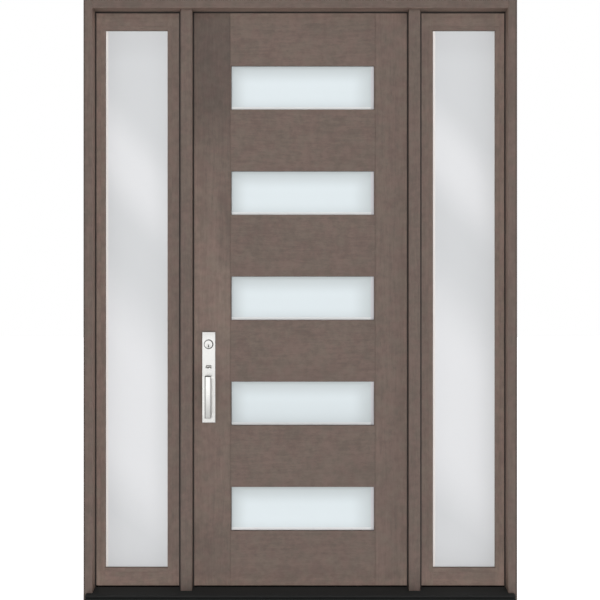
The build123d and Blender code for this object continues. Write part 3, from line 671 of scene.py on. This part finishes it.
def satin_nickel(name, stretch, colour=NICKEL, shade_and_film=None):
    """Brushed nickel with soft edges; shade_and_film makes how much painted shade and dark coating lies at
    one place.
    """
    material, tree, shader = new_finish(name)
    place, x, y, z = axes(tree)
    brushed = noise(tree, scaled_by(tree, place, stretch), *BRUSHING)
    smudge = noise(tree, place, *SMUDGES)
    change = plus(tree, times(tree, brushed, BRUSHED_ROUGH), times(tree, smudge, SMUDGE_ROUGH))
    tint = blend(tree, smudge, shade(colour, SMUDGE_DARK), shade(colour, SMUDGE_PALE))
    if shade_and_film:
        tint = blend(tree, shade_and_film(tree, x, y, z), tint, SHADE_AND_FILM_DARK)
    surface(tree, shader, tint, plus(tree, NICKEL_ROUGH, change), brushed, *NICKEL_BUMP,
            normal=soft_edge(tree, NICKEL_RADIUS))
    shader.inputs["Metallic"].default_value = 1.0
    return material


upright_nickel = satin_nickel("nickel_brushed_upright", UPRIGHT)
level_nickel = satin_nickel("nickel_brushed_level", LEVEL)
dress(upright_nickel, "interior_roses", "interior_thumb_turn", "strike_plates", "edge_faceplates",
      "latch_bolts", "frame_hinge_leaves", "door_hinge_leaves")
dress(level_nickel, "interior_lever")

# %% [markdown]
# Painted shade darkens the handleset where the metal would lie in shade or mirror dark
# surroundings: on the collar's flank and in a ring about the plug, in the keyway, on the upper
# end of the grip, at its foot and along its outer edge. The plate has a thin dark film, painted
# shade a little more at its head, and painted light that lifts the film beside the grip. The
# thumb piece has none and stays bright.

# %% Film on the handleset
PLATE_NICKEL, GRIP_NICKEL = (0.80, 0.793, 0.772), (0.68, 0.675, 0.66)
THUMB_NICKEL = (0.80, 0.793, 0.775)
# Each painted shade has the distances where it starts and is full, and its shares there.
COLLAR_FLANK, PLUG_RING = (0.0168, 0.0172, 0.0, 0.80), (0.0080, 0.0070, 0.0, 0.45)
KEYWAY_INSIDE, KEYWAY_HALF = (0.0002, 0.0005), (0.0028, 0.0020)
KEYWAY_MOUTH = (0.0010, -0.0010, 0.0, 0.92)
GRIP_CROWN, GRIP_FOOT = (0.0032, 0.0020, 0.0, 0.97), (0.140, 0.002, 0.0, 0.42)
GRIP_FLANK = (0.0055, 0.0025, 0.0, 0.68)
PLATE_HEAD, PLATE_FILM = (0.035, 0.004, 0.0, 0.10), 0.31
LIFT_END = 0.012
LIFT_LEFT, LIFT_RIGHT, LIFT_LEAST = 0.004, 0.008, 0.30
RIM_START, RIM_END, RIM_LEAST = 0.013, 0.006, 0.15
plate_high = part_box("handle_plate")[1]
collar_low, collar_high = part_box("lock_cylinder")
plug_low, plug_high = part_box("key_plug")
grip_low, grip_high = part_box("grip_handle")
collar = (collar_low + collar_high) / 2
plug = (plug_low + plug_high) / 2


def far_from(tree, x, z, centre):
    """The distance in x and z from one axis."""
    across = minus(tree, x, centre.x)
    upward = minus(tree, z, centre.z)
    return sums(tree, "SQRT", plus(tree, times(tree, across, across), times(tree, upward, upward)))


def collar_painted_shade(tree, x, y, z):
    """Painted shade on the collar's flank, and a thin ring of painted shade about the plug."""
    return sums(tree, "MAXIMUM", ease(tree, far_from(tree, x, z, collar), *COLLAR_FLANK),
                ease(tree, far_from(tree, x, z, plug), *PLUG_RING))


def keyway_painted_shade(tree, x, y, z):
    """Painted shade inside the keyway, and on the plug's face about its lower end."""
    inside = ease(tree, minus(tree, y, plug_low.y), *KEYWAY_INSIDE)
    across = ease(tree, apart(tree, x, plug.x), *KEYWAY_HALF)
    mouth = times(tree, across, ease(tree, minus(tree, z, plug.z), *KEYWAY_MOUTH))
    return sums(tree, "MAXIMUM", inside, mouth)


def grip_painted_shade(tree, x, y, z):
    """Painted shade on the upper end of the grip, and a little at its foot and along its outer edge."""
    crown = ease(tree, minus(tree, grip_high.z, z), *GRIP_CROWN)
    foot = ease(tree, minus(tree, z, grip_low.z), *GRIP_FOOT)
    flank = ease(tree, minus(tree, x, grip_low.x), *GRIP_FLANK)
    return sums(tree, "MAXIMUM", sums(tree, "MAXIMUM", crown, foot), flank)


def plate_film_and_painted_light(tree, x, y, z):
    """A thin dark coating all over, painted shade a little more at the head, and painted light that lifts
    it beside the grip, less near the right rim.
    """
    painted_shading = times(tree, ease(tree, z, grip_low.z, grip_low.z + LIFT_END),
                   ease(tree, z, grip_high.z, grip_high.z - LIFT_END))
    painted_shading = times(tree, painted_shading, ease(
        tree, x, grip_low.x + LIFT_LEFT, grip_high.x - LIFT_RIGHT, LIFT_LEAST, 1.0))
    painted_shading = times(tree, painted_shading, ease(
        tree, x, plate_high.x - RIM_START, plate_high.x - RIM_END, 1.0, RIM_LEAST))
    head = ease(tree, minus(tree, plate_high.z, z), *PLATE_HEAD)
    return plus(tree, head, times(tree, minus(tree, 1.0, painted_shading), PLATE_FILM))


dress(satin_nickel("plate_nickel", UPRIGHT, colour=PLATE_NICKEL, shade_and_film=plate_film_and_painted_light), "handle_plate")
dress(satin_nickel("collar_nickel", UPRIGHT, shade_and_film=collar_painted_shade), "lock_cylinder")
dress(satin_nickel("plug_nickel", UPRIGHT, shade_and_film=keyway_painted_shade), "key_plug")
dress(satin_nickel("grip_nickel", UPRIGHT, colour=GRIP_NICKEL, shade_and_film=grip_painted_shade), "grip_handle")
dress(satin_nickel("thumb_nickel", LEVEL, colour=THUMB_NICKEL), "thumb_piece")

# %% [markdown]
# The tread is a black anodised sheet and the parts below it are black composite. Both are
# nearly black, so dust in the low spots and long draw lines give them their look. The tread's
# steep faces are painted darker than its top: painted shade.

# %% Black sill
TREAD_BLACK = (0.0400, 0.0415, 0.0415)
COMPOSITE_BLACK = (0.010, 0.010, 0.010)
# The caps and the sweep are black composite made blacker still: a painted shadow in the gap under the leaf.
CAP_AND_SHADOW_BLACK = (0.003, 0.0025, 0.002)
DRAWN_STRETCH, DRAWN_DETAIL = (0.02, 1.0, 1.0), 3.0
LEVEL_RANGE = (0.4, 0.8)
DUST, DUST_RANGE = (38.0, 5.0, 0.65), (0.45, 0.80)
DUST_SHARE, DUST_TONE, DUST_ROUGH = 0.20, 2.0, 0.15
STEEP_DARK, STEEP_PALE = 0.8, 1.2
LEVEL_DARK, LEVEL_PALE = 0.85, 1.15
SILL_RADIUS = 0.0010
SILL_BUMP = (0.10, 0.0003)
SILL_GLOSS = 0.05


def black_finish(name, colour, rough, lines, front=1.0):
    """Nearly black finish with lengthwise draw lines and a little dust on what faces up; front scales the
    tone of steep faces, a painted shade where it is below 1.
    """
    material, tree, shader = new_finish(name)
    place = axes(tree)[0]
    drawn = noise(tree, scaled_by(tree, place, DRAWN_STRETCH), lines, DRAWN_DETAIL)
    level = ease(tree, facing(tree)[2], *LEVEL_RANGE)
    dust = ease(tree, noise(tree, place, *DUST), *DUST_RANGE)
    # Painted shade: steep faces take front times the tone.
    steep_tone = blend(tree, drawn, shade(colour, STEEP_DARK * front), shade(colour, STEEP_PALE * front))
    level_tone = blend(tree, drawn, shade(colour, LEVEL_DARK), shade(colour, LEVEL_PALE))
    dusty = blend(tree, times(tree, dust, DUST_SHARE), level_tone, shade(colour, DUST_TONE))
    tone = blend(tree, level, steep_tone, dusty)
    dull = plus(tree, rough, times(tree, dust, DUST_ROUGH))
    surface(tree, shader, tone, dull, drawn, *SILL_BUMP, normal=soft_edge(tree, SILL_RADIUS))
    shader.inputs["Specular IOR Level"].default_value = SILL_GLOSS
    return material


tread_black = black_finish("tread_black", TREAD_BLACK, rough=0.50, lines=700.0, front=0.40)
composite_black = black_finish("composite_black", COMPOSITE_BLACK, rough=0.60, lines=300.0)
# Painted shadow: the caps and the sweep are near-pure black, so the gap under the leaf reads dark.
cap_and_shadow_black = black_finish("cap_and_shadow_black", CAP_AND_SHADOW_BLACK, rough=0.60, lines=300.0)
dress(tread_black, "sill_tread")
dress(composite_black, "sill_substrate")
dress(cap_and_shadow_black, "door_sill_cap", "sidelite_sill_caps", "door_sweep")

# %% [markdown]
# Foam-filled seals have a thin dark film with fine wrinkles across their length. The core
# and the glass spacers only show at the edges, but they get their own foam and plastic.

# %% Seals, core and spacers
FILM_DARK = (0.010, 0.0065, 0.005)
FOAM_CREAM = (0.62, 0.55, 0.38)
PLASTIC_WHITE = (0.74, 0.74, 0.73)
WRINKLE_DETAIL, WRINKLE_ROUGHNESS, WRINKLE_DEPTH = 4.0, 0.6, 0.0004
BROAD_RATIO, BROAD_DETAIL = 12.0, 3.0
BROAD_DARK, BROAD_PALE = 0.85, 1.15
WRINKLE_ROUGH = 0.1


def wrinkled(name, colour, scale, strength, rough):
    """Soft dull material with a fine wrinkled face."""
    material, tree, shader = new_finish(name)
    place = axes(tree)[0]
    fine = noise(tree, place, scale, WRINKLE_DETAIL, WRINKLE_ROUGHNESS)
    broad = noise(tree, place, scale / BROAD_RATIO, BROAD_DETAIL)
    tone = blend(tree, broad, shade(colour, BROAD_DARK), shade(colour, BROAD_PALE))
    surface(tree, shader, tone, plus(tree, rough, times(tree, fine, WRINKLE_ROUGH)), fine,
            strength, WRINKLE_DEPTH)
    return material


seal_film = wrinkled("seal_film", FILM_DARK, scale=420.0, strength=0.25, rough=0.60)
core_foam = wrinkled("core_foam", FOAM_CREAM, scale=900.0, strength=0.60, rough=0.80)
spacer_white = wrinkled("spacer_white", PLASTIC_WHITE, scale=700.0, strength=0.15, rough=0.55)
dress(seal_film, "door_weatherstrips", "sidelite_seals")
dress(core_foam, "door_core")
dress(spacer_white, "door_lite_spacers", "sidelite_spacers")

# %% [markdown]
# Screws hold the hinge leaves, the strikes and the faceplates. They all look the same, so one
# head is modelled and a node tree sets a copy on each spot. A head could be a turned disc, but
# the cross recess is what makes it a screw, so the head's top face is cut out around a cross
# and gets small walls and a floor there.

# %% One screw head and one hinge-pin tip
HEAD_SIDES = 16
# Each ring has its radius and its height, on a piece of radius 1.
HEAD_TOP = 0.17
HEAD_RINGS = ((1.0, 0.0), (0.94, 0.09), (0.66, HEAD_TOP))
TIP_RINGS = ((1.0, 0.0), (1.0, 0.16), (0.86, 0.26), (0.72, 0.30), (0.62, 0.52), (0.36, 0.66))
CROSS_ARM, CROSS_HALF, CROSS_DEPTH = 0.50, 0.12, 0.13
QUARTER_TURNS = ((1, 0), (0, 1), (-1, 0), (0, -1))


def ring_at(shape, radius, height):
    """Points of one circle."""
    turns = [2 * math.pi / HEAD_SIDES * i for i in range(HEAD_SIDES)]
    return [shape.verts.new((radius * math.cos(turn), radius * math.sin(turn), height)) for turn in turns]


def bridge(shape, lower, upper):
    """Faces between two loops with equally many points."""
    count = len(lower)
    for i in range(count):
        shape.faces.new((lower[i], lower[(i + 1) % count], upper[(i + 1) % count], upper[i]))


def turned(rings):
    """A shape with walls from ring to ring, closed underneath, and its loops of points."""
    shape = bmesh.new()
    loops = [ring_at(shape, radius, height) for radius, height in rings]
    for lower, upper in zip(loops, loops[1:]):
        bridge(shape, lower, upper)
    shape.faces.new(loops[0])
    return shape, loops


def model_from(shape, name):
    """An object from a shape whose faces are turned outwards."""
    bmesh.ops.recalc_face_normals(shape, faces=shape.faces[:])
    mesh = bpy.data.meshes.new(name)
    shape.to_mesh(mesh)
    shape.free()
    model = bpy.data.objects.new(name, mesh)
    scene.collection.objects.link(model)
    return model


def screw_head():
    """An oval head of radius 1 with a cross recess, closed underneath."""
    shape, loops = turned(HEAD_RINGS)
    quarter = ((CROSS_ARM, -CROSS_HALF), (CROSS_ARM, CROSS_HALF), (CROSS_HALF, CROSS_HALF))
    cross = [Vector((x * c - y * s, x * s + y * c, HEAD_TOP)) for c, s in QUARTER_TURNS for x, y in quarter]
    rim = [shape.verts.new(point) for point in cross]
    floor = [shape.verts.new(point - Vector((0, 0, CROSS_DEPTH))) for point in cross]
    outline = [vertex.co.copy() for vertex in loops[-1]]
    corners = loops[-1] + rim
    for triple in tessellate_polygon([outline, cross]):
        shape.faces.new([corners[i] for i in triple])
    bridge(shape, rim, floor)
    for triple in tessellate_polygon([cross]):
        shape.faces.new([floor[i] for i in triple])
    return model_from(shape, "screw_head")


def pin_tip():
    """The crowned end of a hinge pin, of radius 1."""
    shape, loops = turned(TIP_RINGS)
    shape.faces.new(loops[-1])
    return model_from(shape, "pin_tip")


head_model = screw_head()
tip_model = pin_tip()
print("faces:", len(head_model.data.polygons), len(tip_model.data.polygons))

# %% [markdown]
# The tree takes bare points. Each point says which way its piece faces and how large it is, a
# seeded random turn keeps the cross recesses from lining up, and the copies are made real and
# given their finish at the end.

# %% A tree that sets a piece on each point
def new_tree(name, *sockets):
    """A geometry tree with its named inputs, and its two end nodes."""
    tree = bpy.data.node_groups.new(name, "GeometryNodeTree")
    tree.interface.new_socket("Geometry", in_out="INPUT", socket_type="NodeSocketGeometry")
    for label, kind in sockets:
        tree.interface.new_socket(label, in_out="INPUT", socket_type=kind)
    tree.interface.new_socket("Geometry", in_out="OUTPUT", socket_type="NodeSocketGeometry")
    return tree, add(tree, "NodeGroupInput").outputs, add(tree, "NodeGroupOutput")


def named(tree, name, kind):
    """An attribute of the points."""
    node = add(tree, "GeometryNodeInputNamedAttribute", {"Name": name}, data_type=kind)
    return next(socket for socket in node.outputs if socket.enabled)


def finish_tree(tree, geometry, finish, end):
    """Real geometry with one finish."""
    real = add(tree, "GeometryNodeRealizeInstances", {"Geometry": geometry}).outputs[0]
    dressed = add(tree, "GeometryNodeSetMaterial", {"Geometry": real, "Material": finish}).outputs[0]
    tree.links.new(dressed, end.inputs[0])


def setting_tree():
    """Sets one model on every point."""
    tree, given, end = new_tree("set_on_points", ("Model", "NodeSocketObject"), ("Turn", "NodeSocketFloat"),
                                ("Turn seed", "NodeSocketInt"), ("Finish", "NodeSocketMaterial"))
    way = named(tree, "facing", "FLOAT_VECTOR")
    aim = add(tree, "FunctionNodeAlignRotationToVector", {"Vector": way}, axis="Z")
    chance = add(tree, "FunctionNodeRandomValue", {2: 0.0, 3: given["Turn"], 8: given["Turn seed"]},
                 data_type="FLOAT")
    spin = add(tree, "FunctionNodeAxisAngleToRotation", {"Axis": (0, 0, 1), "Angle": chance.outputs[1]})
    spun = add(tree, "FunctionNodeRotateRotation", {
        "Rotation": aim.outputs[0], "Rotate By": spin.outputs[0]}, rotation_space="LOCAL")
    model = add(tree, "GeometryNodeObjectInfo", {"Object": given["Model"], "As Instance": True})
    copies = add(tree, "GeometryNodeInstanceOnPoints", {
        "Points": given["Geometry"], "Instance": model.outputs["Geometry"], "Rotation": spun.outputs[0],
        "Scale": named(tree, "size", "FLOAT")})
    finish_tree(tree, copies.outputs[0], given["Finish"], end)
    return tree


def made_real(source, tree, values, name, body):
    """Runs a tree on a source, keeps the plain mesh and lets it ride on a body."""
    modifier = source.modifiers.new("tree", "NODES")
    modifier.node_group = tree
    for item in tree.interface.items_tree:
        if item.in_out == "INPUT" and item.name in values:
            modifier[item.identifier] = values[item.name]
    bpy.context.view_layer.update()
    graph = bpy.context.evaluated_depsgraph_get()
    mesh = bpy.data.meshes.new_from_object(source.evaluated_get(graph), depsgraph=graph)
    bpy.data.objects.remove(source)
    mesh.name = name
    piece = bpy.data.objects.new(name, mesh)
    scene.collection.objects.link(piece)
    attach(piece, body)
    print(name, "faces:", len(mesh.polygons), "on", body)


def points_of(spots):
    """A mesh of bare points, each with the way it faces and its size."""
    mesh = bpy.data.meshes.new("spots")
    mesh.from_pydata([place for place, way, size in spots], [], [])
    mesh.attributes.new("facing", "FLOAT_VECTOR", "POINT")
    mesh.attributes.new("size", "FLOAT", "POINT")
    for index, (place, way, size) in enumerate(spots):
        mesh.attributes["facing"].data[index].vector = way
        mesh.attributes["size"].data[index].value = size
    source = bpy.data.objects.new("spots", mesh)
    scene.collection.objects.link(source)
    return source


set_on_points = setting_tree()
print("nodes in the tree:", len(set_on_points.nodes))

# %% [markdown]
# Four screws go zigzag through each hinge leaf, and two through each strike and faceplate. The
# faceplates lie on the bevelled latch edge, so their screws lean with it.

# %% Screws and pin tips
HINGES = 4
HINGE_HEIGHT = 0.102
HINGE_DEPTH = 0.036
HINGE_SCREW = 0.0040
HINGE_SCREWS = 4
FIRST_SCREW, SCREW_STEP = 0.0145, 0.0243
ZIGZAG = (0.024, 0.010)
PIN_SETBACK = 0.006
TIP_RADIUS, TIP_SINK = 0.0062, 0.0002
SMALL_SCREW = 0.0033
EDGE_GAP = 0.005
LATCH_BEVEL = math.radians(3.0)
STRIKE_HEIGHT = 0.070
STRIKE_SCREW = 0.0245
FACEPLATE_SCREW = 0.0206
hinge_low, hinge_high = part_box("frame_hinge_leaves")
strike_low, strike_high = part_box("strike_plates")
door_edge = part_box("door_hinge_stile")[1].x
edge_middle = skin_low.x + (leaf_back - middle_y) * math.tan(LATCH_BEVEL)
bevel_way = (-math.cos(LATCH_BEVEL), -math.sin(LATCH_BEVEL), 0.0)
pin_x = door_edge + EDGE_GAP / 2
pin_y = hinge_high.y - PIN_SETBACK
frame_spots, door_spots, tip_spots = [], [], []
for hinge in range(HINGES):
    foot = hinge_low.z + (hinge_high.z - HINGE_HEIGHT - hinge_low.z) * hinge / (HINGES - 1)
    for step in range(HINGE_SCREWS):
        y = leaf_back - HINGE_DEPTH + ZIGZAG[step % 2]
        z = foot + FIRST_SCREW + step * SCREW_STEP
        frame_spots.append(((door_edge + EDGE_GAP, y, z), (-1, 0, 0), HINGE_SCREW))
        door_spots.append(((door_edge, y, z), (1, 0, 0), HINGE_SCREW))
    tip_spots.append(((pin_x, pin_y, foot + HINGE_HEIGHT - TIP_SINK), (0, 0, 1), TIP_RADIUS))
    tip_spots.append(((pin_x, pin_y, foot + TIP_SINK), (0, 0, -1), TIP_RADIUS))
for centre in (strike_low.z + STRIKE_HEIGHT / 2, strike_high.z - STRIKE_HEIGHT / 2):
    for upward in (-1, 1):
        strike_spot = (strike_high.x, middle_y, centre + upward * STRIKE_SCREW)
        faceplate_spot = (edge_middle, middle_y, centre + upward * FACEPLATE_SCREW)
        frame_spots.append((strike_spot, (1, 0, 0), SMALL_SCREW))
        door_spots.append((faceplate_spot, bevel_way, SMALL_SCREW))
screw_values = {"Model": head_model, "Turn": math.pi, "Turn seed": 7, "Finish": upright_nickel}
made_real(points_of(frame_spots), set_on_points, screw_values, "frame_screws", "frame")
made_real(points_of(door_spots), set_on_points, screw_values, "leaf_screws", "door")
tip_values = {"Model": tip_model, "Turn": 0.0, "Turn seed": 1, "Finish": upright_nickel}
made_real(points_of(tip_spots), set_on_points, tip_values, "hinge_pin_tips", "frame")
bpy.data.objects.remove(head_model)
bpy.data.objects.remove(tip_model)

# %% [markdown]
# A fine bead of dark sealant closes the corner between each pane and its frame. It follows a
# rectangle round the pane, so a tree turns the rectangle into a curve and draws a small round
# section along it. The pane's outer and inner faces each get a bead.

# %% Sealant beads round the glass
SEALANT_RADIUS = 0.0010
SEALANT_SIDES = 8


def sealant_tree():
    """A round bead along the edges of the source."""
    tree, given, end = new_tree("sealant_bead", ("Radius", "NodeSocketFloat"), ("Sides", "NodeSocketInt"),
                                ("Finish", "NodeSocketMaterial"))
    path = add(tree, "GeometryNodeMeshToCurve", {"Mesh": given["Geometry"]}).outputs[0]
    section = add(tree, "GeometryNodeCurvePrimitiveCircle", {
        "Resolution": given["Sides"], "Radius": given["Radius"]}).outputs[0]
    bead = add(tree, "GeometryNodeCurveToMesh", {"Curve": path, "Profile Curve": section}).outputs[0]
    finish_tree(tree, bead, given["Finish"], end)
    return tree


def rectangles(panes):
    """Closed outlines at the two faces of each pane."""
    shape = bmesh.new()
    for left, right, bottom, top, front, back in panes:
        for y in (front, back):
            corners = [shape.verts.new(place) for place in
                       ((left, y, bottom), (right, y, bottom), (right, y, top), (left, y, top))]
            for start, end in zip(corners, corners[1:] + corners[:1]):
                shape.edges.new((start, end))
    mesh = bpy.data.meshes.new("outlines")
    shape.to_mesh(mesh)
    shape.free()
    source = bpy.data.objects.new("outlines", mesh)
    scene.collection.objects.link(source)
    return source


def pane_of(node, cover):
    """The visible part of one glass unit."""
    low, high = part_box(node)
    return (low.x + cover, high.x - cover, low.z + cover, high.z - cover, low.y, high.y)


sealant_bead = sealant_tree()
sealant_values = {"Radius": SEALANT_RADIUS, "Sides": SEALANT_SIDES, "Finish": seal_film}
leaf_panes = [pane_of(name, LITE_COVER) for name in lite_names]
panel_panes = [pane_of(f"{side}_sidelite_glass", PANEL_COVER) for side in ("left", "right")]
made_real(rectangles(leaf_panes), sealant_bead, sealant_values, "lite_sealant", "door")
made_real(rectangles(panel_panes), sealant_bead, sealant_values, "panel_sealant", "frame")

# %% [markdown]
# The floor is a wide pale sheet, white enough to run into the surround. Its faint cloud keeps
# it from being one flat tone.

# %% Floor
FLOOR_DIM, FLOOR_PALE = (0.90, 0.90, 0.90, 1.0), (0.93, 0.93, 0.93, 1.0)
FLOOR_CLOUD = (2.0, 2.0)
FLOOR_ROUGH, FLOOR_GLOSS, FLOOR_GLOW = 0.9, 0.1, 0.85
FLOOR_HALF, FLOOR_CELLS = 30.0, 4


def pale_floor():
    """A wide plain sheet under the unit."""
    material, tree, shader = new_finish("floor_pale")
    tone = blend(tree, noise(tree, axes(tree)[0], *FLOOR_CLOUD), FLOOR_DIM, FLOOR_PALE)
    tree.links.new(tone, shader.inputs["Base Color"])
    shader.inputs["Roughness"].default_value = FLOOR_ROUGH
    shader.inputs["Specular IOR Level"].default_value = FLOOR_GLOSS
    shader.inputs["Emission Color"].default_value = WHITE
    shader.inputs["Emission Strength"].default_value = FLOOR_GLOW
    shape = bmesh.new()
    bmesh.ops.create_grid(shape, x_segments=FLOOR_CELLS, y_segments=FLOOR_CELLS, size=FLOOR_HALF)
    mesh = bpy.data.meshes.new("floor")
    shape.to_mesh(mesh)
    shape.free()
    mesh.materials.append(material)
    floor = bpy.data.objects.new("floor", mesh)
    scene.collection.objects.link(floor)
    print("floor faces:", len(mesh.polygons))


pale_floor()
